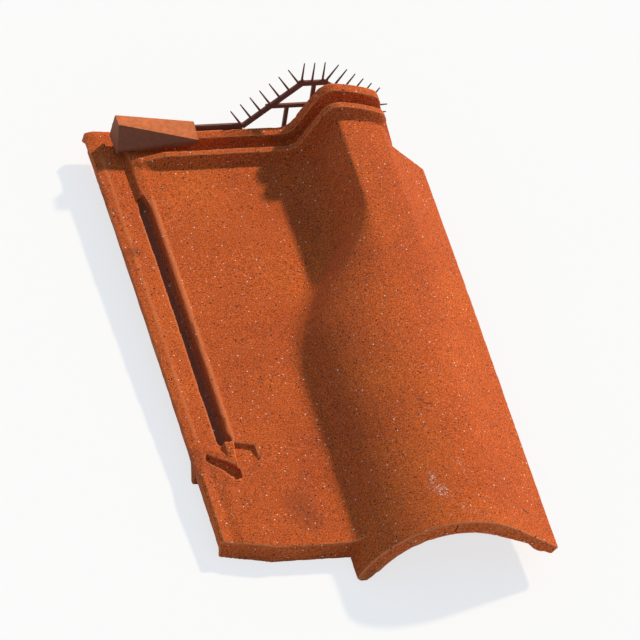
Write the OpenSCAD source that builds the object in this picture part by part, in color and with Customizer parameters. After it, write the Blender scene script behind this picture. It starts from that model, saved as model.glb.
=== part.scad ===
// Interlocking clay roof tile with a flared roll, and the bird comb clipped on its head.
// Millimetres. X runs across the tile to the roll side, Y runs up the tile to the head, Z is up.
// The tile lies on its foot edge and on its two hanging nibs, roll uppermost.

/* [Body] */
// Overall width, from the side lock's outer edge to the roll's free edge
tile_width = 264; // [252:1:276]
// Length of the side lock strip, from its head end to the foot of the pan
pan_length = 432; // [410:1:455]
// How far the roll's foot stands forward of the pan's foot
nose_projection = 24; // [14:1:32]
// Thickness of the pressed clay
wall = 11; // [9:0.5:13]
// Height of the foot face, from the floor to the pan
foot_height = 18; // [15:0.5:22]
// How much higher the pan lies at the head than at the foot
head_rise = 9; // [6:0.5:14]
// Upward bow of the pan along its length
camber = 2.2; // [0:0.2:5]
// How far the foot edge falls back at the side lock corner
foot_setback = 10; // [0:0.5:14]

/* [Head] */
// How far the side lock strip runs on past the head of the pan
tongue_length = 13; // [8:0.5:20]
// Bead on the end of that strip, past its measured head
bead_overhang = 3.5; // [1:0.5:5]
// Height of the two ribs across the head
rib_height = 9.5; // [6:0.5:12]
// Flat top of the first rib
rib1_top = 8.2; // [5:0.1:11]
// Clear groove between the two ribs
rib_groove = 10.6; // [8:0.2:16]
// Flat top of the second rib
rib2_top = 4.8; // [3:0.1:8]
// Run of the second rib's sloped front
rib2_slope = 5.6; // [3:0.2:9]
// Left end of both ribs, from the tile's outer edge
rib_start = 28; // [27.5:0.5:34]

/* [Side lock] */
// Lip crest, from the outer edge
crest_x = 7.5; // [6:0.5:9]
// Lip crest below the pan
crest_drop = 3.4; // [2.4:0.2:4]
// Lip's outer edge below the pan
lip_drop = 4.5; // [4:0.5:6]
// Floor of the side lock below the pan, beside the slot
band_drop = 5; // [4.2:0.2:6]
// Slot centre line, from the outer edge
slot_x = 28.5; // [27:0.5:30]
// Slot width
slot_width = 8.5; // [6:0.5:10]
// Slot depth below the pan
slot_depth = 9; // [6:0.5:10]
// Upper end of the slot, from the head of the side lock strip
slot_head = 68; // [60:1:90]
// Lower end of the slot, from the head of the side lock strip
slot_foot = 326; // [300:1:335]
// Ridge beside the slot, from the outer edge
ridge_x = 35.5; // [34:0.5:38]
// Height of that ridge above the pan
ridge_height = 1.2; // [0.4:0.2:2.4]
// Lower end of the lip, from the head of the side lock strip
lip_end = 360; // [345:1:375]

/* [Roll] */
// Outer radius of the neck's right shoulder
neck_radius = 12; // [9:0.5:16]
// Centre of that shoulder, from the tile's outer edge
neck_x = 219.5; // [216:0.5:223]
// Neck's shoulder above the pan, were it a full circle
neck_crown = 40.8; // [38:0.2:46]
// Radius of the neck's flattish top
neck_top = 110; // [90:2:130]
// Slope at which the shoulder runs into the top
shoulder_turn = 21.8; // [18:0.2:25]
// Slope at which the top runs into the left corner
corner_turn = 3.7; // [2.5:0.1:5]
// Radius of the neck's left corner
neck_corner = 4; // [2:0.5:8]
// Steepness of the neck's left flank
neck_flank = 69; // [64:1:78]
// Radius of the hollow between pan and neck
neck_hollow = 20; // [16:0.5:24]
// Radius of the bore under the neck
neck_bore = 15; // [12:0.5:17]
// Centre of that bore, from the tile's outer edge
bore_x = 205; // [202:0.5:208]
// Crown of that bore above the pan
bore_crown = 35.5; // [32:0.5:38]
// Outer radius of the flared roll
roll_radius = 80; // [72:1:90]
// Roll centre line at the foot, from the tile's outer edge
roll_x = 182; // [176:1:188]
// Roll crown above the pan at the foot
roll_crown = 43; // [38:0.5:48]
// Steepness of the roll's left flank at the foot
roll_flank = 50; // [44:1:58]
// Radius of the hollow between pan and flared roll
roll_hollow = 24; // [18:0.5:32]
// Where the flare starts, from the head of the side lock strip
flare_start = 123; // [110:1:140]
// Where the flare ends
flare_end = 253; // [230:1:290]
// Right edge of the neck, from the tile's outer edge
neck_edge = 243; // [238:1:249]
// Free edge of the roll above the pan
edge_height = 7; // [4:0.5:12]
// Thickness of the roll's free edge
edge_wall = 8; // [5:0.5:10]
// How far the foot of the roll stands proud of the rest of it
nose_proud = 0.3; // [0.2:0.1:1]
// Chamfer on the roll's left foot, where it meets the floor
nose_chamfer = 3; // [1:0.5:4]
// Foot rim of the roll thicker than the wall by
rim_extra = 1.5; // [0.4:0.1:2.5]
// Bead under the free edge at the foot rim
edge_bead = 3; // [2:0.2:4]

/* [Nibs] */
// Width of each hanging nib
nib_width = 26; // [18:1:36]
// Depth of each nib along the tile
nib_depth = 16; // [10:1:24]
// Foot side of the nibs, from the head of the side lock strip
nib_face = 46; // [40:1:60]
// Centre of the first nib, from the tile's outer edge
nib_x = 68; // [55:1:85]
// Distance between the nibs' centres
nib_pitch = 62; // [50:1:70]

/* [Bird comb] */
// Backward lean of the comb
comb_lean = 15; // [8:1:20]
// Thickness of the comb's bars
comb_depth = 2.5; // [2:0.1:4]
// Width of the comb's bars
comb_bar = 4; // [3:0.2:6]
// Free fit between the comb and the clay
comb_gap = 0.3; // [0.2:0.1:0.6]
// Left end of the clip, from the tile's outer edge
clip_start = 18.5; // [14:0.5:22]
// Right end of the clip
clip_end = 85; // [75:1:95]
// Height of the clip above the pan at its left end
clip_height = 24; // [18:0.5:30]
// Height of the clip's back above the pan at its right end
clip_side = 14.5; // [12:0.5:18]
// Thickness of the clip's sheet
clip_sheet = 1.8; // [1.2:0.1:2.6]
// Top of the low strip above the pan
strip_top = 9.5; // [8:0.5:14]
// Left corner of the arch's flat top
arch_left = 171.5; // [164:0.5:178]
// Length of the arch's flat top
arch_flat = 20; // [14:0.5:28]
// Top of the arch above the pan, along the comb
arch_top = 46; // [40:0.5:52]
// Left foot of the arch
arch_foot = 127.5; // [118:0.5:136]
// Right end of the comb
comb_end = 231; // [225:0.5:237]
// Height of the right corner, along the comb
comb_corner = 22; // [16:0.5:28]
// Length of the pins
pin_length = 16.5; // [10:0.5:20]
// Radius of a pin at its foot
pin_foot_r = 1.0; // [0.7:0.1:1.4]
// Radius of a pin at its tip
pin_tip_r = 0.5; // [0.3:0.1:0.8]

/* [Hidden] */
$fn = 32;
corner_steps = 10;
top_steps = 6;
shoulder_steps = 10;
arc_steps = corner_steps + top_steps + shoulder_steps;
fillet_steps = 6;
pan_steps = 3;
head_y = pan_length - tongue_length;
comb_low = -8;
comb_y = head_y + comb_gap - comb_low * sin(comb_lean);
head_floor = foot_height + head_rise;
y_back = comb_y + (arch_top + pin_length - pin_tip_r) * sin(comb_lean)
       + comb_depth / 2 * cos(comb_lean) + pin_tip_r;
y_mid = (y_back - nose_projection) / 2;
rib1_front = tongue_length + rib1_top;
rib2_back = rib1_front + 1.2 + rib_groove;
rib2_front = rib2_back + 0.9 + rib2_top;
rib2_end = rib2_front + rib2_slope;
ring_end = rib2_end + 13;
shoulder_end = ring_end + 7;

// Smooth step from 0 at a to 1 at b
function ease(a, b, v) = let (t = min(1, max(0, (v - a) / (b - a)))) t * t * (3 - 2 * t);
// Value that goes smoothly from p at the neck to q at the foot
function flare(p, q, l) = p + (q - p) * ease(flare_start, flare_end, l);
// Height of the pan above the floor, l from the head of the side lock strip
function pan_z(l) = let (s = l / pan_length)
    foot_height + head_rise * (1 - s) + 4 * camber * s * (1 - s);

// Unit step out of a round surface, at t from upright
function out(t) = [sin(t), cos(t)];
// The roll's upper section at l is a shoulder, a top and a left corner, each an arc that runs into the next
function shoulder_r(l) = flare(neck_radius, roll_radius, l);
function top_r(l) = flare(neck_top, roll_radius, l);
function corner_r(l) = flare(neck_corner, roll_radius, l);
function shoulder_c(l) = [flare(neck_x, roll_x, l), flare(neck_crown, roll_crown, l) - shoulder_r(l)];
function top_c(l) = shoulder_c(l) + (shoulder_r(l) - top_r(l)) * out(shoulder_turn);
function corner_c(l) = top_c(l) + (top_r(l) - corner_r(l)) * out(corner_turn);
// The bore under the roll is one arc
function bore_r(l) = flare(neck_bore, roll_radius - wall, l);
function bore_c(l) = [flare(bore_x, roll_x, l), flare(bore_crown, roll_crown - wall, l) - bore_r(l)];
function flank(l) = flare(neck_flank, roll_flank, l);
function hollow_r(l) = flare(neck_hollow, roll_hollow, l);
function edge_x(l) = neck_edge
    + (tile_width - nose_proud - neck_edge) * ease(ring_end, shoulder_end, l);
function edge_z(l) = edge_height + 3 * (1 - ease(ring_end, shoulder_end, l));
// Slope at which an arc of centre c and radius r runs straight on to the point e
function edge_angle(c, r, e) = atan2(e[0] - c[0], e[1] - c[1]) - acos(r / norm(e - c));
// Where the left flank of an arc, run straight down, would meet the height z
function flank_foot(c, r, a, z) = c[0] - r * sin(a) - (c[1] + r * cos(a) - z) / tan(a);
// Points of an arc
function arc(c, r, from, to, first, steps) = [for (i = [first : steps])
    c + r * out(from + (to - from) * i / steps)];
// Points of an arc whose radius goes from r to q
function fading_arc(c, r, q, from, to, steps) = [for (i = [1 : steps])
    c + (r + (q - r) * i / steps) * out(from + (to - from) * i / steps)];
// Points from the pan at height z through a hollow of radius f to the flank of slope a
function hollow(c, r, a, z, f) = let (
        start = ridge_x + 20, x = flank_foot(c, r, a, z) - f * tan(a / 2))
    concat([for (i = [0 : pan_steps - 1]) [start + (x - start) * i / pan_steps, z]],
        [for (i = [0 : fillet_steps]) let (t = a * i / fillet_steps) [x + f * sin(t), z + f - f * cos(t)]]);
// Upper side of pan and roll at l, raised by h
function roll_top(l, h) = let (a = flank(l), e = [edge_x(l), edge_z(l)],
        b = edge_angle(shoulder_c(l), shoulder_r(l), e))
    concat(
        hollow(corner_c(l), corner_r(l) + h, a, h, hollow_r(l) - h),
        arc(corner_c(l), corner_r(l) + h, -a, corner_turn, 0, corner_steps),
        fading_arc(top_c(l), top_r(l) + h, top_r(l) + 0.8 * h, corner_turn, shoulder_turn, top_steps),
        fading_arc(shoulder_c(l), shoulder_r(l) + 0.8 * h, shoulder_r(l) + 0.35 * h, shoulder_turn, b,
            shoulder_steps),
        [e + h * [0.05, 0.15]]);
// Under side of pan and roll at l
function roll_under(l) = let (a = flank(l), e = [edge_x(l), edge_z(l)],
        b = edge_angle(shoulder_c(l), shoulder_r(l), e), t = e - edge_wall * out(b),
        c = bore_c(l), r = bore_r(l))
    concat(
        hollow(c, r, a, -wall, hollow_r(l) + wall),
        arc(c, r, -a, edge_angle(c, r, t), 0, arc_steps),
        [t]);

// Height of the ribs at l
function rib(l) = l <= rib1_front ? rib_height
    : l < rib2_back + 0.9 ? 0
    : l <= rib2_front ? rib_height : 0;
// How far the lip has run out into the flute below it at l
function runout(l) = ease(lip_end - 22, lip_end, l);
// How far the side lock's floor has risen to the pan at l
function rise(l) = ease(lip_end - 34, lip_end - 15, l);

// Upper side of the section at l, from the side lock to the free edge
function upper(l) = let (h = rib(l), k = runout(l))
    concat(
        [[0, 2.5 * k - lip_drop], [crest_x * (1 - 0.65 * k), -crest_drop * (1 - k)],
         [crest_x + 4 - k, -(crest_drop + 0.5) * (1 - k) - 1.4 * k],
         [rib_start - 1 - 9 * k, -band_drop * (1 - rise(l)) + 0.2 * k], [rib_start, 0.2],
         [rib_start + 1, 0.3 + h * 0.1],
         [ridge_x, ridge_height * (1 - 0.6 * k) + h * 0.33], [ridge_x + 2.2, 0.5 - 0.2 * k + h * 0.4]],
        roll_top(l, h));
// Under side of the section at l
function under(l) = concat(
        [[0, -lip_drop - 4.5], [crest_x, -lip_drop - 7], [slot_x - 9, -wall],
         [slot_x - 6, -slot_depth - 5.5], [slot_x, -slot_depth - 6], [slot_x + 5, -slot_depth - 5.5],
         [slot_x + 8, -wall - 1], [slot_x + 10, -wall]],
        roll_under(l));

STATIONS = concat(
    [tongue_length, rib1_front, rib1_front + 1.2, rib2_back, rib2_back + 0.9, rib2_front, rib2_end],
    [for (i = [0 : 5]) ring_end + (shoulder_end - ring_end) * i / 5],
    [for (i = [1 : 3]) shoulder_end + (flare_start - shoulder_end) * i / 3],
    [for (i = [1 : 11]) flare_start + (flare_end - flare_start) * i / 11],
    [flare_end + 28, lip_end - 34, lip_end - 22, lip_end - 15, lip_end - 8, lip_end, lip_end + 8],
    [(lip_end + pan_length) / 2 + 6, pan_length]);

// Solid between upper and under sections at each station
module loft(stations) {
    count = len(upper(stations[0]));
    last = len(stations) - 1;
    ring = 2 * count;
    points = [for (l = stations) for (p = concat(upper(l), under(l)))
        [p[0], pan_length - l, p[1] + pan_z(l)]];
    skins = [for (s = [0 : last - 1]) for (i = [0 : count - 2]) let (k = s * ring + i)
        for (f = [[k, k + 1, k + ring + 1], [k, k + ring + 1, k + ring],
                  [k + count, k + count + ring + 1, k + count + 1],
                  [k + count, k + count + ring, k + count + ring + 1]]) f];
    sides = [for (s = [0 : last - 1]) let (k = s * ring, e = k + count - 1)
        for (f = [[k, k + ring, k + count + ring], [k, k + count + ring, k + count],
                  [e, e + count + ring, e + ring], [e, e + count, e + count + ring]]) f];
    ends = [for (i = [0 : count - 2]) let (k = last * ring + i)
        for (f = [[i, i + count + 1, i + 1], [i, i + count, i + count + 1],
                  [k, k + 1, k + count + 1], [k, k + count + 1, k + count]]) f];
    polyhedron(points, concat(skins, sides, ends), convexity = 8);
}

// The roll's foot, which stands forward of the pan and reaches the floor on its left
module nose() {
    l = pan_length;
    c = [roll_x, roll_crown - roll_radius + foot_height];
    e = [tile_width, edge_height + foot_height];
    b = edge_angle(c, roll_radius, e);
    r = roll_radius + nose_proud;
    bore = roll_radius - wall - rim_extra;
    outer = acos((nose_chamfer - c[1]) / r);
    inner = acos((wall - c[1]) / bore);
    foot_x = c[0] - sqrt(r * r - c[1] * c[1]);
    steps = arc_steps + 3;
    t = e - edge_wall * out(b);
    u = [-cos(b), sin(b)];
    bead = t + 26 * u - 0.5 * out(b);
    section = concat(
        [c + r * out(-outer) + nose_chamfer * [1.1, -1]],
        arc(c, r, -outer, b, 0, steps),
        [e, t - [0, nose_proud], t + 6 * u - 1.6 * out(b), t + 13 * u - edge_bead * out(b)],
        [t + 19 * u - 0.9 * edge_bead * out(b), bead],
        arc(c, bore, edge_angle(c, bore, bead), -inner, 0, steps),
        [[foot_x + 0.8 * wall, 0]]);
    translate([0, 10, 0])
        rotate([90, 0, 0])
            linear_extrude(nose_projection + 10)
                polygon(section);
}

// Thin slice of the side lock strip at l: outer edge, crest and floor heights, inset and low edge
module tongue_slice(l, edge, top, floor, inset, low) {
    translate([0, pan_length - l, head_floor])
        rotate([90, 0, 0])
            linear_extrude(0.4)
                polygon([[inset, edge], [crest_x, top], [rib_start - 3.5 - inset, floor],
                    [rib_start - 3.5 - inset, -wall], [crest_x, -lip_drop - 6.6], [inset, low]]);
}

// Strip of the side lock that runs on past the head and ends in a hooked bead
module tongue() {
    hull() {
        tongue_slice(-bead_overhang, -4.2, -2.9, -4.6, 1.6, -12);
        tongue_slice(1.8 - bead_overhang, -4.2, -2.6, -4.6, 0, -12.5);
        tongue_slice(6.5 - bead_overhang, -4.4, -3, -4.8, 0.1, -10);
    }
    hull() {
        tongue_slice(4.5 - bead_overhang, -4.5, -3.1, -4.9, 0.2, -8.9);
        tongue_slice(tongue_length + 2, -lip_drop - 0.4, -crest_drop - 0.4, -band_drop - 0.4, 0.3,
            -lip_drop - 4.1);
    }
}

// Thick edge along the foot of the pan, down to the floor
module foot_edge() {
    run = flank_foot([roll_x, roll_crown - roll_radius], roll_radius, roll_flank, 0) - 2;
    hull() {
        translate([2, 0.4, 0])
            cube([run, 11, 1]);
        translate([1, 0, foot_height - lip_drop - 3])
            cube([run + 1, 15, 2]);
    }
}

// Nib that hangs on the batten; its foot side stands upright
module nib(x) {
    y = pan_length - nib_face;
    hull() {
        translate([x - nib_width / 2 + 2, y, 0])
            cube([nib_width - 4, nib_depth - 5, 1]);
        translate([x - nib_width / 2, y, pan_z(nib_face) - wall - 1])
            cube([nib_width, nib_depth, 2]);
    }
}

// Stop under the lower end of the lip, which deepens towards the foot and ends just off the floor
module lip_stop() {
    y = pan_length - lip_end + 11;
    z = pan_z(lip_end);
    hull() {
        translate([0.2, y, z - lip_drop - 3.4])
            cube([9, 14, 3]);
        translate([0.5, y, 0.3])
            cube([7, 3, 1]);
    }
}

// Upright pin of the tool that presses a recess, from depth d below the pan
module press(x, l, r, d) {
    translate([x, pan_length - l, pan_z(l) - d])
        cylinder(r = r, h = d + 12);
}

// Recesses pressed in the side lock and beside it
module recesses() {
    w = slot_width / 2;
    hull() {
        press(slot_x - 0.8, slot_head + 3, w * 0.55, slot_depth);
        press(slot_x, slot_head + 16, w, slot_depth);
        press(slot_x, slot_foot - w, w, slot_depth);
    }
    hull() {
        press(slot_x + 1, slot_foot - 9, w - 1, slot_depth - 2);
        press(slot_x + 3.5, slot_foot - 2, w - 1.6, slot_depth - 4);
    }
    hull() {
        press(ridge_x + 1, slot_foot + 3, 1.5, 3.2);
        press(ridge_x + 14.5, slot_foot + 6, 1.5, 3.2);
        press(ridge_x + 14.5, slot_foot + 20, 1.5, 0.7);
        press(ridge_x - 3, slot_foot + 42, 1.5, 0.2);
    }
    hull() {
        press(12.9, lip_end - 24.5, 1.4, 7);
        press(33, lip_end - 7, 1.4, 6);
        press(32.5, lip_end + 0.5, 1.4, 6);
        press(28.5, lip_end + 2, 1.4, 6);
        press(11.4, lip_end - 20, 1.4, 7);
    }
}

// Part of the foot that falls back at the side lock corner
module corner_cut() {
    translate([0, 0, -1])
        linear_extrude(foot_height + 12)
            polygon([[-2, -1], [ridge_x + 8, -1], [ridge_x + 8, 0], [-2, foot_setback]]);
}

module tile() {
    color("#ba562d")
        difference() {
            union() {
                loft(STATIONS);
                nose();
                tongue();
                foot_edge();
                for (i = [0, 1])
                    nib(nib_x + i * nib_pitch);
                lip_stop();
            }
            recesses();
            corner_cut();
        }
}

// Corner points of the comb's upper outline: x along the tile, height along the comb
COMB_LINE = [[arch_foot, strip_top], [arch_left, arch_top], [arch_left + arch_flat, arch_top],
    [comb_end, comb_corner]];

// Flat bar between two points
module bar(p, q, w) {
    d = q - p;
    translate(p)
        rotate(atan2(d[1], d[0]))
            translate([-w / 2, -w])
                square([norm(d) + w, w]);
}

// The comb's flat frame: the clip's back and low strip, the arch, its strut and its posts
module frame_outline() {
    seat = rib_start - 2.5;
    strut = arch_top * 0.49;
    right = arch_left + arch_flat;
    strut_end = right + (comb_end - right) * (arch_top - strut - comb_bar) / (arch_top - comb_corner);
    polygon([[clip_start, 1.2], [seat, 1.2], [seat, comb_low], [arch_foot, comb_low],
        [arch_foot, strip_top], [clip_end, strip_top], [clip_start, strip_top + 5]]);
    for (i = [0 : 2])
        bar(COMB_LINE[i], COMB_LINE[i + 1], comb_bar);
    translate([comb_end - comb_bar, comb_low])
        square([comb_bar, comb_corner - comb_low]);
    translate([arch_foot - 1, comb_low])
        square([comb_end - arch_foot, comb_bar]);
    translate([arch_foot + 17, strut])
        square([strut_end - arch_foot - 17, comb_bar * 0.8]);
    for (x = [-9, arch_flat / 2 + 1, arch_flat + 10])
        translate([arch_left + x - 1.5, comb_low])
            square([3, (x > 0 && x < arch_flat ? arch_top - 2 : strut + 2) - comb_low]);
}

// Tapered pin with a round tip that stands on the frame at p and points along the angle a
module pin(p, a) {
    translate([p[0], p[1], comb_depth / 2])
        rotate([0, 0, a])
            rotate([0, 90, 0])
                hull() {
                    translate([0, 0, -1.5])
                        cylinder(r = pin_foot_r, h = 0.9, $fn = 12);
                    translate([0, 0, pin_length - pin_tip_r])
                        sphere(r = pin_tip_r, $fn = 12);
                }
}

// Even row of pins between two points, square to the bar
module pin_row(p, q, first, last, count) {
    d = q - p;
    for (i = [0 : count - 1])
        pin(p + d * (first + (last - first) * i / (count - 1)), atan2(d[1], d[0]) + 90);
}

module pins() {
    pin_row(COMB_LINE[0], COMB_LINE[1], -0.03, 0.95, 7);
    pin_row(COMB_LINE[1], COMB_LINE[2], 0.01, 0.88, 3);
    pin_row(COMB_LINE[2], COMB_LINE[3], 0.02, 0.98, 6);
    for (z = [comb_corner - 2, comb_corner - 9])
        pin([comb_end, z], 3);
}

// Corner of the clip's sheet, l from the head of the side lock strip and h above the pan
module clip_corner(x, l, h) {
    translate([x, pan_length - l, pan_z(rib1_front) + h])
        cube([clip_sheet, clip_sheet, clip_sheet]);
}

// Sheet hook, closed at its left end, that folds forward over the first rib and leans down before it
module clip() {
    right = clip_end - clip_sheet;
    front = rib1_front + 2.3 + comb_gap + clip_sheet;
    back = tongue_length - 6;
    over = rib_height + 0.7;
    hull() {
        clip_corner(clip_start, front + 1.5, 4);
        clip_corner(clip_start, rib1_front - 4.5, clip_height - clip_sheet);
        clip_corner(right, front, over - 4);
        clip_corner(right, front, over);
    }
    hull() {
        clip_corner(clip_start, rib1_front - 4.5, clip_height - clip_sheet);
        clip_corner(right, front, over);
        clip_corner(clip_start, back, clip_height - clip_sheet - 0.8);
        clip_corner(right, back + 2.5, clip_side - clip_sheet);
    }
    hull() {
        clip_corner(clip_start, back, clip_height - clip_sheet - 0.8);
        clip_corner(right, back + 2.5, clip_side - clip_sheet);
        clip_corner(clip_start, back, strip_top);
        clip_corner(right, back + 2.5, strip_top - 6);
    }
    hull() {
        clip_corner(clip_start, front + 1.5, 2);
        clip_corner(clip_start, rib1_front - 4.5, clip_height - clip_sheet);
        clip_corner(clip_start, back, clip_height - clip_sheet - 0.8);
        clip_corner(clip_start, back, 1);
    }
}

module bird_comb() {
    color("#b8612f")
        union() {
            translate([0, comb_y, head_floor])
                rotate([90 - comb_lean, 0, 0])
                    translate([0, 0, -comb_depth]) {
                        linear_extrude(comb_depth)
                            frame_outline();
                        pins();
                    }
            clip();
        }
}

translate([-tile_width / 2, -y_mid, 0]) {
    tile();
    bird_comb();
}
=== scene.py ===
"""Looks of an interlocking clay roof tile and the bird comb clipped on its head."""

import logging
import math
from dataclasses import dataclass
from enum import Enum

import bpy
import numpy as np
from mathutils import Matrix, Vector, noise


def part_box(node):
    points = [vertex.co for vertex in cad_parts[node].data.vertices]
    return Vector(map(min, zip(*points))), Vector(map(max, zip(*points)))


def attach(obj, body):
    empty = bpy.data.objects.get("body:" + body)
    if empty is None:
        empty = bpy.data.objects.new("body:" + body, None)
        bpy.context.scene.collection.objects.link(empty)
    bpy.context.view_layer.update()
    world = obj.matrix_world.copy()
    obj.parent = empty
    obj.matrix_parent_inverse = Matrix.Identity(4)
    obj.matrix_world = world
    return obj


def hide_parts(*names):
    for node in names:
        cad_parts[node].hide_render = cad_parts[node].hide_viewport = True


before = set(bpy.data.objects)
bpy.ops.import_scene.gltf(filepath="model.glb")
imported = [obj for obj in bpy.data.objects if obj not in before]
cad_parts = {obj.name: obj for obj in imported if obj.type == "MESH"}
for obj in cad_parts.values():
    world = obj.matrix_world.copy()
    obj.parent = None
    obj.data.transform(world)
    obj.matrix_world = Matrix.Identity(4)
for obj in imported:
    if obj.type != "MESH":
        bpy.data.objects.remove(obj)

LOG = logging.getLogger("roof_tile")
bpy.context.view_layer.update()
MM_PER_M = 1000.0
WHITE = "#ffffff"
WORN = "worn_arris"

Point = tuple[float, float, float]
Span = tuple[float, float]
Tree = bpy.types.NodeTree
Socket = bpy.types.NodeSocket


class Node(Enum):
    """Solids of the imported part."""

    TILE = "tile"
    COMB = "bird_comb"


class Slot(Enum):
    """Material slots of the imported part."""

    CLAY = "fired_clay"
    PLASTIC = "comb_plastic"


def linear(code: str) -> tuple[float, float, float, float]:
    """Turns an sRGB hex colour into linear light.

    Args:
        code: colour as "#rrggbb".

    Returns:
        Red, green, blue and an alpha of 1.
    """
    parts = [int(code[i:i + 2], 16) / 255 for i in (1, 3, 5)]
    red, green, blue = [c / 12.92 if c <= 0.04045 else ((c + 0.055) / 1.055) ** 2.4
                        for c in parts]
    return red, green, blue, 1.0


def per_metre(size_mm: float) -> float:
    """Scale of a pattern that repeats about once in size_mm."""
    return MM_PER_M / size_mm


def add(tree: Tree, kind: str, inputs: dict | None = None, **settings: object) -> bpy.types.Node:
    """Adds one node to a material, with its settings and links.

    Args:
        tree: node tree of the material.
        kind: type of the node.
        inputs: value or linked socket for each input, by name or place.
        settings: attributes of the node itself.

    Returns:
        The new node.
    """
    node = tree.nodes.new(kind)
    for name, value in settings.items():
        setattr(node, name, value)
    for name, value in (inputs or {}).items():
        if isinstance(value, bpy.types.NodeSocket):
            tree.links.new(value, node.inputs[name])
        else:
            node.inputs[name].default_value = value
    return node


@dataclass(frozen=True)
class Mark:
    """A straight stroke on the clay, for handling marks, painted ridge highlights and painted slot
    shade.
    """

    start_mm: Point
    end_mm: Point
    width_mm: float
    strength: float
    # Part of the width over which the stroke keeps its full strength.
    core: float = 0.3

    def mask(self, tree: Tree, at: Socket) -> Socket:
        """Draws the stroke.

        Args:
            tree: node tree of the material.
            at: point in the clay.

        Returns:
            Mask that is the stroke's strength on its line and 0 beyond its width.
        """
        start = Vector(self.start_mm) / MM_PER_M
        run = Vector(self.end_mm) / MM_PER_M - start
        width = self.width_mm / MM_PER_M
        away = add(tree, "ShaderNodeVectorMath", {0: at, 1: start},
                   operation="SUBTRACT").outputs["Vector"]
        along = add(tree, "ShaderNodeVectorMath", {0: away, 1: run}, operation="DOT_PRODUCT")
        share = add(tree, "ShaderNodeMath", {0: along.outputs["Value"], 1: run.length_squared},
                    operation="DIVIDE", use_clamp=True)
        foot = add(tree, "ShaderNodeVectorMath", {0: run, 3: share.outputs[0]}, operation="SCALE")
        gap = add(tree, "ShaderNodeVectorMath", {0: away, 1: foot.outputs["Vector"]},
                  operation="DISTANCE")
        return add(tree, "ShaderNodeMapRange", {
            "Value": gap.outputs["Value"], "From Min": width * self.core, "From Max": width,
            "To Min": self.strength, "To Max": 0.0}).outputs[0]


@dataclass(frozen=True)
class Specks:
    """Round grains or pits scattered through the clay, at most one to a cell of the scatter."""

    cell_mm: float
    # Radius of the largest speck as a part of a cell, and the part of the cells that hold none.
    largest: float
    empty: float
    # A speck's edge fades over a sixth of a millimetre.
    crisp_per_mm: float = 6.0

    def mask(self, tree: Tree, at: Socket) -> Socket:
        """Draws the specks.

        Args:
            tree: node tree of the material.
            at: point in the clay.

        Returns:
            Mask that is 1 in a speck.
        """
        # Each scatter is moved by its own sizes, so that two with equal cells don't coincide.
        shift = (self.cell_mm * 0.1, self.empty, self.largest)
        moved = add(tree, "ShaderNodeVectorMath", {0: at, 1: shift}, operation="ADD")
        cells = add(tree, "ShaderNodeTexVoronoi", {
            "Vector": moved.outputs[0], "Scale": per_metre(self.cell_mm)})
        pick = add(tree, "ShaderNodeSeparateColor", {0: cells.outputs["Color"]})
        radius = add(tree, "ShaderNodeMapRange", {
            "Value": pick.outputs[0], "From Min": self.empty, "From Max": 1.0,
            "To Min": 0.0, "To Max": self.largest})
        inside = add(tree, "ShaderNodeMath", {
            0: radius.outputs[0], 1: cells.outputs["Distance"]}, operation="SUBTRACT")
        return add(tree, "ShaderNodeMath", {
            0: inside.outputs[0], 1: self.crisp_per_mm * self.cell_mm},
            operation="MULTIPLY", use_clamp=True).outputs[0]


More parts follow.
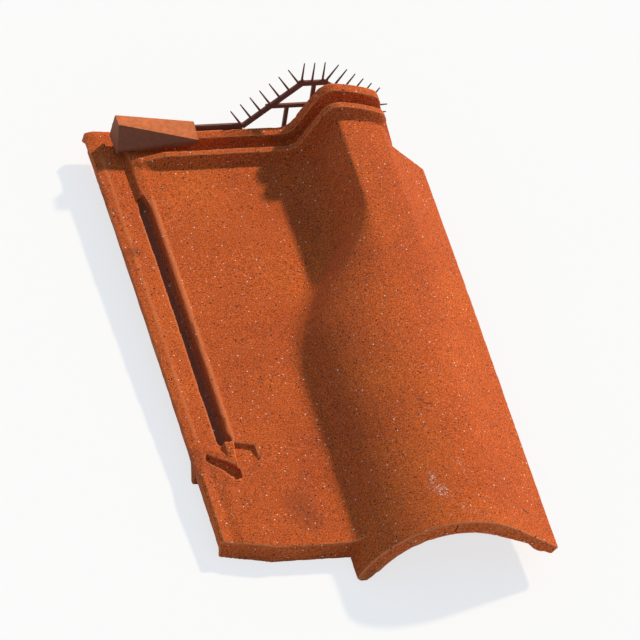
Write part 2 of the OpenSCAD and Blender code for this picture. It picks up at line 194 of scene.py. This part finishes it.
@dataclass(frozen=True)
class FiredClay:
    """Terracotta, pressed in a mould and fired unglazed.

    The eye sees a dry matt orange-red, faintly clouded by the kiln, with sandy grain, pale grit,
    open pits, arrises rubbed paler, and a few marks from handling. Painted highlights run along
    the side ridges, and painted shade darkens the slot.
    """

    pale: str = "#c55812"
    body: str = "#be510f"
    burnt: str = "#b34a0d"
    # Colour of rubbed arrises and of the painted highlights along the side ridges.
    rubbed_and_highlight: str = "#d87a48"
    dust: str = "#e0b298"
    # Colour of the painted shade in the slot.
    painted_shade: str = "#4b3d38"
    chalk: str = "#f0d6c8"
    crumb: str = "#dd8e66"
    pit: str = "#3a1c14"
    cloud_mm: float = 60.0
    # Levels of the clouds at which the clay is burnt, of its plain colour, and pale.
    kiln_levels: Point = (0.32, 0.5, 0.70)
    # Real grain is about 0.3 mm; it is drawn about four times as coarse so that it shows.
    grain_mm: float = 1.1
    # Part of the noise that makes the grain, and how far it darkens and lightens the clay.
    grain_span: Span = (0.3, 0.7)
    grain_shade: Span = (0.25, 1.7)
    dust_mm: float = 1.3
    dust_span: Span = (0.5, 0.78)
    dust_cover: float = 0.16
    scratch_mm: float = 1.6
    scratch_span: Span = (0.56, 0.66)
    crumbs: Specks = Specks(2.5, 0.26, 0.55)
    pits: Specks = Specks(2.5, 0.32, 0.35)
    holes: Specks = Specks(11.0, 0.085, 0.40)
    grit: Specks = Specks(3.5, 0.2, 0.45)
    # Height of the grain, how fully it shows, and the depth of a pit or score in grain heights.
    relief_mm: float = 0.4
    relief_strength: float = 0.6
    pit_depth: float = 1.4
    roughness: float = 0.88
    ior: float = 1.5
    # Open pores swallow part of the highlight that a closed surface of this index would give.
    highlight: float = 0.3
    scuffs: tuple[Mark, ...] = (
        Mark((34.5, -180.0, 60.5), (34.0, -190.0, 60.0), 4.0, 1.0),
        Mark((33.0, -190.0, 60.0), (40.5, -200.0, 60.5), 6.5, 1.0),
        Mark((59.5, -168.0, 62.0), (60.5, -178.0, 61.5), 3.0, 0.8),
        Mark((48.0, -214.0, 59.0), (60.0, -222.0, 58.5), 4.0, 0.75))
    scores: tuple[Mark, ...] = (
        Mark((107.3, -204.2, 40.1), (110.6, -205.9, 38.1), 1.1, 0.9),
        Mark((43.4, -106.5, 64.3), (47.7, -111.3, 64.5), 1.1, 0.5),
        Mark((47.7, -111.3, 64.5), (52.6, -112.4, 64.4), 1.1, 0.55),
        Mark((43.7, -113.7, 64.1), (44.9, -117.0, 64.1), 1.0, 0.35),
        Mark((44.9, -117.0, 64.1), (48.5, -119.0, 64.2), 1.0, 0.4),
        Mark((41.6, -231.5, 58.2), (40.8, -231.5, 51.4), 0.9, 0.95))
    smudges: tuple[Mark, ...] = (
        Mark((-62.0, -166.0, 19.4), (-57.0, -181.0, 19.2), 16.0, 0.30),
        Mark((-128.0, -112.0, 14.0), (-126.0, -128.0, 12.0), 14.0, 0.30),
        Mark((-127.1, 99.2, 22.4), (-120.0, 99.3, 22.3), 6.5, 0.38))
    # Painted highlights along the ridge beside the slot, the lip's crest and the slot's left rim.
    ridge_highlights: tuple[Mark, ...] = (
        Mark((-96.5, 150.0, 27.9), (-96.5, 24.4, 26.2), 2.6, 0.55),
        Mark((-96.5, 24.4, 26.2), (-96.5, -98.0, 23.2), 2.6, 0.55),
        Mark((-124.2, 200.0, 23.7), (-124.2, 24.4, 21.6), 2.4, 0.4),
        Mark((-124.2, 24.4, 21.6), (-124.2, -92.0, 18.9), 2.4, 0.4),
        Mark((-108.4, 138.0, 21.5), (-108.4, 24.4, 20.0), 1.8, 0.5),
        Mark((-108.4, 24.4, 20.0), (-108.4, -94.0, 17.1), 1.8, 0.5))
    # Painted shade along the slot.
    slot_shade: tuple[Mark, ...] = (
        Mark((-103.5, 150.0, 17.7), (-103.5, 20.0, 16.6), 6.4, 0.6),
        Mark((-103.5, 20.0, 16.6), (-103.5, -98.0, 12.9), 6.4, 0.6))

    def strokes(self, tree: Tree, at: Socket, marks: tuple[Mark, ...]) -> Socket:
        """Joins several marks.

        Args:
            tree: node tree of the material.
            at: point in the clay.
            marks: marks to join.

        Returns:
            Mask of them all.
        """
        joined = marks[0].mask(tree, at)
        for mark in marks[1:]:
            joined = add(tree, "ShaderNodeMath", {0: joined, 1: mark.mask(tree, at)},
                         operation="MAXIMUM").outputs[0]
        return joined

    def fired(self, tree: Tree, at: Socket, sand: Socket) -> Socket:
        """Colours the bare clay as it leaves the kiln.

        Args:
            tree: node tree of the material.
            at: point in the clay.
            sand: noise of the grain.

        Returns:
            Clouded and grained colour.
        """
        cloud = add(tree, "ShaderNodeTexNoise", {
            "Vector": at, "Scale": per_metre(self.cloud_mm), "Detail": 4.0})
        kiln = add(tree, "ShaderNodeValToRGB", {"Fac": cloud.outputs[0]})
        burnt_at, body_at, pale_at = self.kiln_levels
        first, last = kiln.color_ramp.elements
        first.position, first.color = burnt_at, linear(self.burnt)
        last.position, last.color = pale_at, linear(self.pale)
        kiln.color_ramp.elements.new(body_at).color = linear(self.body)
        shade = add(tree, "ShaderNodeMapRange", {
            "Value": sand, "From Min": self.grain_span[0], "From Max": self.grain_span[1],
            "To Min": self.grain_shade[0], "To Max": self.grain_shade[1]})
        return add(tree, "ShaderNodeVectorMath", {0: kiln.outputs[0], 3: shade.outputs[0]},
                   operation="SCALE").outputs[0]

    def dusted(self, tree: Tree, at: Socket) -> Socket:
        """Finds where a thin film of clay dust lies.

        Args:
            tree: node tree of the material.
            at: point in the clay.

        Returns:
            Mask of the dust.
        """
        film = add(tree, "ShaderNodeTexNoise", {
            "Vector": at, "Scale": per_metre(self.dust_mm), "Detail": 1.0})
        return add(tree, "ShaderNodeMapRange", {
            "Value": film.outputs[0], "From Min": self.dust_span[0], "From Max": self.dust_span[1],
            "To Max": self.dust_cover}).outputs[0]

    def scuffed(self, tree: Tree, at: Socket) -> Socket:
        """Breaks the scuffs up into fine scratches.

        Args:
            tree: node tree of the material.
            at: point in the clay.

        Returns:
            Mask of the scratches.
        """
        streaks = add(tree, "ShaderNodeTexNoise", {
            "Vector": at, "Scale": per_metre(self.scratch_mm), "Detail": 3.0, "Distortion": 1.2})
        lines = add(tree, "ShaderNodeMapRange", {
            "Value": streaks.outputs[0], "From Min": self.scratch_span[0],
            "From Max": self.scratch_span[1]})
        return add(tree, "ShaderNodeMath", {
            0: lines.outputs[0], 1: self.strokes(tree, at, self.scuffs)},
            operation="MULTIPLY").outputs[0]

    def build(self) -> bpy.types.Material:
        """Makes the material.

        Returns:
            Material of the tile.
        """
        material = bpy.data.materials.new("terracotta_pressed_unglazed")
        material.use_nodes = True
        tree = material.node_tree
        shader = tree.nodes["Principled BSDF"]
        shader.inputs["Roughness"].default_value = self.roughness
        shader.inputs["IOR"].default_value = self.ior
        shader.inputs["Specular IOR Level"].default_value = self.highlight
        at = add(tree, "ShaderNodeTexCoord").outputs["Object"]
        sand = add(tree, "ShaderNodeTexNoise", {
            "Vector": at, "Scale": per_metre(self.grain_mm), "Detail": 2.0,
            "Roughness": 0.7}).outputs[0]
        worn = add(tree, "ShaderNodeAttribute", attribute_name=WORN).outputs["Fac"]
        # Rubbed paler arrises, joined with the painted highlights along the side ridges.
        worn_and_highlit = add(tree, "ShaderNodeMath", {0: worn, 1: self.strokes(tree, at, self.ridge_highlights)},
                   operation="MAXIMUM").outputs[0]
        pitted = add(tree, "ShaderNodeMath", {
            0: self.pits.mask(tree, at), 1: self.holes.mask(tree, at)},
            operation="MAXIMUM").outputs[0]
        scored = self.strokes(tree, at, self.scores)
        # Each layer covers those before it.
        layers = (
            (self.dusted(tree, at), self.dust),
            # Rubbed arrises and painted ridge highlights.
            (worn_and_highlit, self.rubbed_and_highlight),
            (self.strokes(tree, at, self.smudges), self.pit),
            # Painted shade in the slot.
            (self.strokes(tree, at, self.slot_shade), self.painted_shade),
            (self.crumbs.mask(tree, at), self.crumb),
            (pitted, self.pit),
            (self.grit.mask(tree, at), self.chalk),
            (self.scuffed(tree, at), self.chalk),
            (scored, self.pit))
        colour = self.fired(tree, at, sand)
        for mask, code in layers:
            colour = add(tree, "ShaderNodeMix", {"Factor": mask, "A": colour, "B": linear(code)},
                         data_type="RGBA").outputs["Result"]
        tree.links.new(colour, shader.inputs["Base Color"])
        sunk = add(tree, "ShaderNodeMath", {0: pitted, 1: scored}, operation="ADD")
        height = add(tree, "ShaderNodeMath", {0: sunk.outputs[0], 1: -self.pit_depth, 2: sand},
                     operation="MULTIPLY_ADD")
        bump = add(tree, "ShaderNodeBump", {
            "Strength": self.relief_strength, "Distance": self.relief_mm / MM_PER_M,
            "Height": height.outputs[0]})
        tree.links.new(bump.outputs[0], shader.inputs["Normal"])
        return material


@dataclass(frozen=True)
class MouldedPolypropylene:
    """Polypropylene, coloured through and injection moulded.

    The eye sees a satin clay colour on the clip's sheet, with painted shade on the sides that look
    down the slope, and a deeper brown on the arch and its pins, partly painted shade, a little
    duller where the mould was spark eroded.
    """

    sheet: str = "#963808"
    sheet_worn: str = "#e67a30"
    # Painted shade on the sides that look down the slope.
    painted_shade: str = "#5a3a2c"
    # The arch and pins are partly their own deeper brown and partly painted shade.
    bars_and_shade: str = "#5a2e1e"
    bars_worn_and_shade: str = "#713d27"
    # Where the clip's sheet ends along the head, and half the width of the change of colour.
    sheet_end_m: float = -0.047
    sheet_fade_m: float = 0.002
    down_slope: Point = (-0.5, -0.85, 0.0)
    # How squarely a side looks down the slope when the painted shade starts and is full, and its
    # cover.
    painted_shade_span: Span = (0.25, 0.5)
    painted_shade_cover: float = 0.75
    patch_mm: float = 4.0
    # Spark-eroded mould grain is about 0.1 mm; it is drawn coarser so that it shows.
    texture_mm: float = 0.6
    texture_depth_mm: float = 0.1
    texture_strength: float = 0.2
    roughness: float = 0.72
    # Change of the roughness from the hollows to the tops of the mould grain.
    dulling: Span = (-0.1, 0.12)
    ior: float = 1.49

    def tint(self, tree: Tree, at: Socket) -> Socket:
        """Colours the sheet with painted shade on its down-slope sides, and the bars in a brown
        that is partly painted shade.

        Args:
            tree: node tree of the material.
            at: point in the plastic.

        Returns:
            Colour of the comb.
        """
        patch = add(tree, "ShaderNodeTexNoise", {
            "Vector": at, "Scale": per_metre(self.patch_mm), "Detail": 3.0}).outputs[0]
        sheet = add(tree, "ShaderNodeMix", {
            "Factor": patch, "A": linear(self.sheet), "B": linear(self.sheet_worn)},
            data_type="RGBA")
        # Sides that look down the slope are darkened with painted shade.
        facing = add(tree, "ShaderNodeTexCoord").outputs["Normal"]
        down = add(tree, "ShaderNodeVectorMath", {0: facing, 1: self.down_slope},
                   operation="DOT_PRODUCT")
        shade_amount = add(tree, "ShaderNodeMapRange", {
            "Value": down.outputs["Value"], "From Min": self.painted_shade_span[0],
            "From Max": self.painted_shade_span[1], "To Max": self.painted_shade_cover})
        sheet_and_shade = add(tree, "ShaderNodeMix", {
            "Factor": shade_amount.outputs[0], "A": sheet.outputs["Result"], "B": linear(self.painted_shade)},
            data_type="RGBA")
        # Deeper brown of the bars, partly painted shade.
        bars_and_shade = add(tree, "ShaderNodeMix", {
            "Factor": patch, "A": linear(self.bars_and_shade), "B": linear(self.bars_worn_and_shade)},
            data_type="RGBA")
        place = add(tree, "ShaderNodeSeparateXYZ", {0: at})
        beyond = add(tree, "ShaderNodeMapRange", {
            "Value": place.outputs[0], "From Min": self.sheet_end_m - self.sheet_fade_m,
            "From Max": self.sheet_end_m + self.sheet_fade_m})
        return add(tree, "ShaderNodeMix", {
            "Factor": beyond.outputs[0], "A": sheet_and_shade.outputs["Result"],
            "B": bars_and_shade.outputs["Result"]}, data_type="RGBA").outputs["Result"]

    def build(self) -> bpy.types.Material:
        """Makes the material.

        Returns:
            Material of the comb.
        """
        material = bpy.data.materials.new("polypropylene_moulded_satin")
        material.use_nodes = True
        tree = material.node_tree
        shader = tree.nodes["Principled BSDF"]
        shader.inputs["IOR"].default_value = self.ior
        at = add(tree, "ShaderNodeTexCoord").outputs["Object"]
        tree.links.new(self.tint(tree, at), shader.inputs["Base Color"])
        erosion = add(tree, "ShaderNodeTexNoise", {
            "Vector": at, "Scale": per_metre(self.texture_mm)}).outputs[0]
        sheen = add(tree, "ShaderNodeMapRange", {
            "Value": erosion, "To Min": self.roughness + self.dulling[0],
            "To Max": self.roughness + self.dulling[1]})
        tree.links.new(sheen.outputs[0], shader.inputs["Roughness"])
        bump = add(tree, "ShaderNodeBump", {
            "Strength": self.texture_strength, "Distance": self.texture_depth_mm / MM_PER_M,
            "Height": erosion})
        tree.links.new(bump.outputs[0], shader.inputs["Normal"])
        return material


def background_rays(tree: Tree) -> Socket:
    """Tells the rays that show the white background from those that light the part.

    Args:
        tree: node tree of the floor or the world.

    Returns:
        1 for what is seen, mirrored or looked at through something clear, and 0 for light.
    """
    rays = add(tree, "ShaderNodeLightPath").outputs
    passed_on = add(tree, "ShaderNodeMath", {
        0: rays["Is Glossy Ray"], 1: rays["Is Transmission Ray"]}, operation="MAXIMUM")
    return add(tree, "ShaderNodeMath", {0: rays["Is Camera Ray"], 1: passed_on.outputs[0]},
               operation="MAXIMUM").outputs[0]


@dataclass(frozen=True)
class MattPaper:
    """Uncoated white backdrop paper.

    The eye sees an even white with no sheen, on which the part leaves a faint shadow.
    """

    colour: str = "#f4f4f4"
    roughness: float = 0.9
    # Part of the paper that is plain white to the camera, which keeps the shadow faint.
    glow: float = 0.72

    def build(self) -> bpy.types.Material:
        """Makes the material.

        Returns:
            Material of the floor.
        """
        material = bpy.data.materials.new("matt_white_paper")
        material.use_nodes = True
        tree = material.node_tree
        shader = tree.nodes["Principled BSDF"]
        shader.inputs["Base Color"].default_value = linear(self.colour)
        shader.inputs["Roughness"].default_value = self.roughness
        share = add(tree, "ShaderNodeMath", {0: background_rays(tree), 1: self.glow},
                    operation="MULTIPLY")
        light = add(tree, "ShaderNodeEmission")
        paper = add(tree, "ShaderNodeMixShader", {
            0: share.outputs[0], 1: shader.outputs[0], 2: light.outputs[0]})
        tree.links.new(paper.outputs[0], tree.nodes["Material Output"].inputs["Surface"])
        return material


def settle(piece: bpy.types.Object, node: Node, material: bpy.types.Material) -> None:
    """Puts a finished piece in the place of its solid.

    Args:
        piece: object that is shown.
        node: solid that it stands for.
        material: finish of the piece.
    """
    piece.data.materials.clear()
    piece.data.materials.append(material)
    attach(piece, "root")
    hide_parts(node.value)
    LOG.info("%s stands for %s, %d faces", piece.name, node.value, len(piece.data.polygons))


def fresh_copy(node: Node, name: str) -> bpy.types.Object:
    """Copies a solid's mesh into a new object.

    Args:
        node: solid to copy.
        name: name of the new piece.

    Returns:
        The new object, in the scene.
    """
    piece = bpy.data.objects.new(name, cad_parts[node.value].data.copy())
    bpy.context.scene.collection.objects.link(piece)
    return piece


def bake(piece: bpy.types.Object) -> None:
    """Turns the modifiers of a piece into its own mesh.

    Args:
        piece: object whose modifiers are used up.
    """
    shown = piece.evaluated_get(bpy.context.evaluated_depsgraph_get())
    mesh = bpy.data.meshes.new_from_object(shown)
    piece.modifiers.clear()
    piece.data = mesh


@dataclass
class ClayTile:
    """The pressed tile, with soft rubbed edges and the slight waves of pressing and firing."""

    finish: FiredClay
    cell_mm: float = 0.75
    soften_rounds: int = 2
    # Steps to the mean of the neighbours and back out, so that the body keeps its size.
    soften_steps: Span = (0.55, -0.5)
    wave_mm: float = 0.22
    wave_length_mm: float = 38.0
    ripple_mm: float = 0.06
    ripple_length_mm: float = 7.0
    chip_mm: float = 0.7
    chip_length_mm: float = 8.0
    # Wear below which an arris never chips, and the slope and start of a chip in its noise.
    chip_wear: float = 0.05
    chip_slope: float = 2.2
    chip_start: float = 0.35
    # Bulge of an arris over the mean of its neighbours at which it is rubbed, and rubbed pale.
    rub_from_mm: float = 0.026
    rub_full_mm: float = 0.085
    most_faces: int = 185000

    def spread(self, values: np.ndarray, edges: np.ndarray) -> np.ndarray:
        """Takes the mean of each vertex's neighbours.

        Args:
            values: one row for each vertex.
            edges: pairs of vertex numbers.

        Returns:
            The mean rows.
        """
        near, far = edges[:, 0], edges[:, 1]
        size = len(values)
        total = [np.bincount(near, values[far, k], size) + np.bincount(far, values[near, k], size)
                 for k in range(values.shape[1])]
        neighbours = np.maximum(np.bincount(edges.ravel(), minlength=size), 1)
        return np.stack(total, axis=1) / neighbours[:, None]

    def soften(self, points: np.ndarray, edges: np.ndarray) -> np.ndarray:
        """Rounds the edges without shrinking the body.

        Args:
            points: vertex places.
            edges: pairs of vertex numbers.

        Returns:
            New vertex places.
        """
        for _ in range(self.soften_rounds):
            for step in self.soften_steps:
                points = points + step * (self.spread(points, edges) - points)
        return points

    def rub(self, points: np.ndarray, edges: np.ndarray, normals: np.ndarray) -> np.ndarray:
        """Finds how much each place stands out as an arris.

        Args:
            points: vertex places.
            edges: pairs of vertex numbers.
            normals: outward directions.

        Returns:
            0 on plain faces to 1 on a sharp arris.
        """
        proud = (points - self.spread(points, edges)) * normals
        bulge = proud.sum(axis=1, keepdims=True) * MM_PER_M
        even = self.spread(bulge, edges) * 0.5 + bulge * 0.5
        full = self.rub_full_mm - self.rub_from_mm
        return np.clip((even[:, 0] - self.rub_from_mm) / full, 0.0, 1.0)

    def relief(self, points: np.ndarray, worn: np.ndarray) -> np.ndarray:
        """Works out the slight unevenness of fired clay and the chips on its arrises.

        Args:
            points: vertex places.
            worn: how much each place stands out as an arris.

        Returns:
            Height along the normal, in metres.
        """
        long, short, chip = (per_metre(size) for size in (
            self.wave_length_mm, self.ripple_length_mm, self.chip_length_mm))
        waves = np.array([self.wave_mm * noise.noise(Vector(p) * long)
                          + self.ripple_mm * noise.noise(Vector(p) * short) for p in points])
        chips = np.array([noise.noise(Vector(p) * chip) if w > self.chip_wear else 0.0
                          for p, w in zip(points, worn)])
        depth = np.clip(chips * self.chip_slope - self.chip_start, 0.0, 1.0)
        return (waves - self.chip_mm * worn * depth) / MM_PER_M

    def build(self) -> bpy.types.Object:
        """Makes the tile's shown mesh from its solid.

        Returns:
            The tile.
        """
        piece = fresh_copy(Node.TILE, "pressed_tile")
        press = piece.modifiers.new("press", "REMESH")
        press.mode = "VOXEL"
        press.voxel_size = self.cell_mm / MM_PER_M
        bake(piece)
        mesh = piece.data
        points = np.empty(len(mesh.vertices) * 3)
        mesh.vertices.foreach_get("co", points)
        edges = np.empty(len(mesh.edges) * 2, dtype=np.int32)
        mesh.edges.foreach_get("vertices", edges)
        edges = edges.reshape(-1, 2)
        points = self.soften(points.reshape(-1, 3), edges)
        mesh.vertices.foreach_set("co", points.ravel())
        mesh.update()
        normals = np.empty(len(mesh.vertices) * 3)
        mesh.vertex_normals.foreach_get("vector", normals)
        normals = normals.reshape(-1, 3)
        worn = self.rub(points, edges, normals)
        mesh.attributes.new(WORN, "FLOAT", "POINT").data.foreach_set("value", worn)
        low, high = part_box(Node.TILE.value)
        points = points + normals * self.relief(points, worn)[:, None]
        points = np.clip(points, np.array(low), np.array(high))
        mesh.vertices.foreach_set("co", points.ravel())
        mesh.update()
        thin = piece.modifiers.new("thin_out", "DECIMATE")
        # Each of the mesh's four-sided faces counts as two triangles.
        thin.ratio = min(1.0, self.most_faces / (2 * len(mesh.polygons)))
        bake(piece)
        piece.data.shade_smooth()
        return piece

    def dress(self, piece: bpy.types.Object) -> None:
        """Gives the tile its clay finish and its place."""
        settle(piece, Node.TILE, self.finish.build())


@dataclass
class BirdComb:
    """The moulded comb behind the head, with the small rounds that its mould leaves."""

    finish: MouldedPolypropylene
    weld_mm: float = 0.01
    round_mm: float = 0.35
    round_steps: int = 2
    crease_deg: float = 32.0

    def build(self) -> bpy.types.Object:
        """Makes the comb's shown mesh from its solid.

        Returns:
            The comb.
        """
        piece = fresh_copy(Node.COMB, "moulded_comb")
        weld = piece.modifiers.new("weld", "WELD")
        weld.merge_threshold = self.weld_mm / MM_PER_M
        edge = piece.modifiers.new("mould_round", "BEVEL")
        edge.width = self.round_mm / MM_PER_M
        edge.segments = self.round_steps
        edge.angle_limit = math.radians(self.crease_deg)
        piece.data.shade_smooth()
        piece.modifiers.new("even_shade", "WEIGHTED_NORMAL")
        bake(piece)
        return piece

    def dress(self, piece: bpy.types.Object) -> None:
        """Gives the comb its plastic finish and its place."""
        settle(piece, Node.COMB, self.finish.build())


@dataclass(frozen=True)
class Lamp:
    """A lamp so far away that its light is even over the whole part."""

    name: str
    colour: str
    # Strength on a square metre that faces the lamp.
    watts: float
    # Width of the lamp as seen from the part.
    soft_deg: float
    source: Point

    def hang(self) -> None:
        """Puts the lamp in the scene."""
        lamp = bpy.data.lights.new(self.name, "SUN")
        lamp.energy = self.watts
        lamp.color = linear(self.colour)[:3]
        lamp.angle = math.radians(self.soft_deg)
        holder = bpy.data.objects.new(self.name, lamp)
        holder.rotation_euler = Vector(self.source).to_track_quat("Z", "Y").to_euler()
        bpy.context.scene.collection.objects.link(holder)


@dataclass
class Studio:
    """Pale floor, a warm lamp beyond the head on the right, a weak cool fill, and a long lens."""

    paper: MattPaper
    floor_m: float = 14.0
    sky_colour: str = "#b0d8ff"
    sky_light: float = 0.50
    lamps: tuple[Lamp, ...] = (
        Lamp("soft_lamp", "#ffe8c6", 3.55, 4.0, (0.66, 0.52, 0.65)),
        Lamp("fill_lamp", "#d5ebff", 0.2, 60.0, (-0.335, -0.625, 0.705)))
    lens_px: float = 10304.22
    image_px: float = 640.0
    sensor_mm: float = 36.0
    turn_deg: float = -28.156
    height_deg: float = 44.842
    roll_deg: float = 17.481
    distance_m: float = 8.0
    farthest_m: float = 100.0
    aim_m: Point = (-0.00124, 0.00124, 0.04063)

    def floor(self) -> None:
        """Lays the floor."""
        half = self.floor_m / 2
        mesh = bpy.data.meshes.new("floor")
        corners = [(-half, -half, 0), (half, -half, 0), (half, half, 0), (-half, half, 0)]
        mesh.from_pydata(corners, [], [(0, 1, 2, 3)])
        mesh.materials.append(self.paper.build())
        ground = bpy.data.objects.new("floor", mesh)
        bpy.context.scene.collection.objects.link(ground)

    def light(self) -> None:
        """Sets the lamps and the even light all round, with white behind the part."""
        for lamp in self.lamps:
            lamp.hang()
        world = bpy.data.worlds.new("studio")
        world.use_nodes = True
        tree = world.node_tree
        sky = tree.nodes["Background"]
        seen = background_rays(tree)
        tint = add(tree, "ShaderNodeMix", {
            "Factor": seen, "A": linear(self.sky_colour), "B": linear(WHITE)}, data_type="RGBA")
        level = add(tree, "ShaderNodeMapRange", {
            "Value": seen, "To Min": self.sky_light, "To Max": 1.0})
        tree.links.new(tint.outputs["Result"], sky.inputs["Color"])
        tree.links.new(level.outputs[0], sky.inputs["Strength"])
        bpy.context.scene.world = world

    def camera(self) -> None:
        """Places the camera at the photograph's viewing angle."""
        turn, rise, roll = (math.radians(angle) for angle in (
            self.turn_deg, self.height_deg, self.roll_deg))
        back = Vector((math.sin(turn) * math.cos(rise), -math.cos(turn) * math.cos(rise),
                       math.sin(rise)))
        level = Vector((math.cos(turn), math.sin(turn), 0.0))
        up = back.cross(level)
        right = math.cos(roll) * level + math.sin(roll) * up
        top = math.cos(roll) * up - math.sin(roll) * level
        lens = bpy.data.cameras.new("long_lens")
        lens.sensor_width = self.sensor_mm
        lens.lens = self.lens_px / self.image_px * lens.sensor_width
        lens.clip_end = self.farthest_m
        viewer = bpy.data.objects.new("long_lens", lens)
        place = Matrix.Translation(Vector(self.aim_m) + back * self.distance_m)
        viewer.matrix_world = place @ Matrix((right, top, back)).transposed().to_4x4()
        bpy.context.scene.collection.objects.link(viewer)
        bpy.context.scene.camera = viewer

    def build(self) -> None:
        """Sets the whole studio."""
        self.floor()
        self.light()
        self.camera()
        bpy.context.scene.view_settings.view_transform = "Standard"


def main() -> None:
    """Builds the tile, the comb and the studio."""
    logging.basicConfig(level=logging.INFO, format="%(name)s: %(message)s")
    Studio(MattPaper()).build()
    tile = ClayTile(FiredClay())
    tile.dress(tile.build())
    comb = BirdComb(MouldedPolypropylene())
    comb.dress(comb.build())


if __name__ == "__main__":
    main()
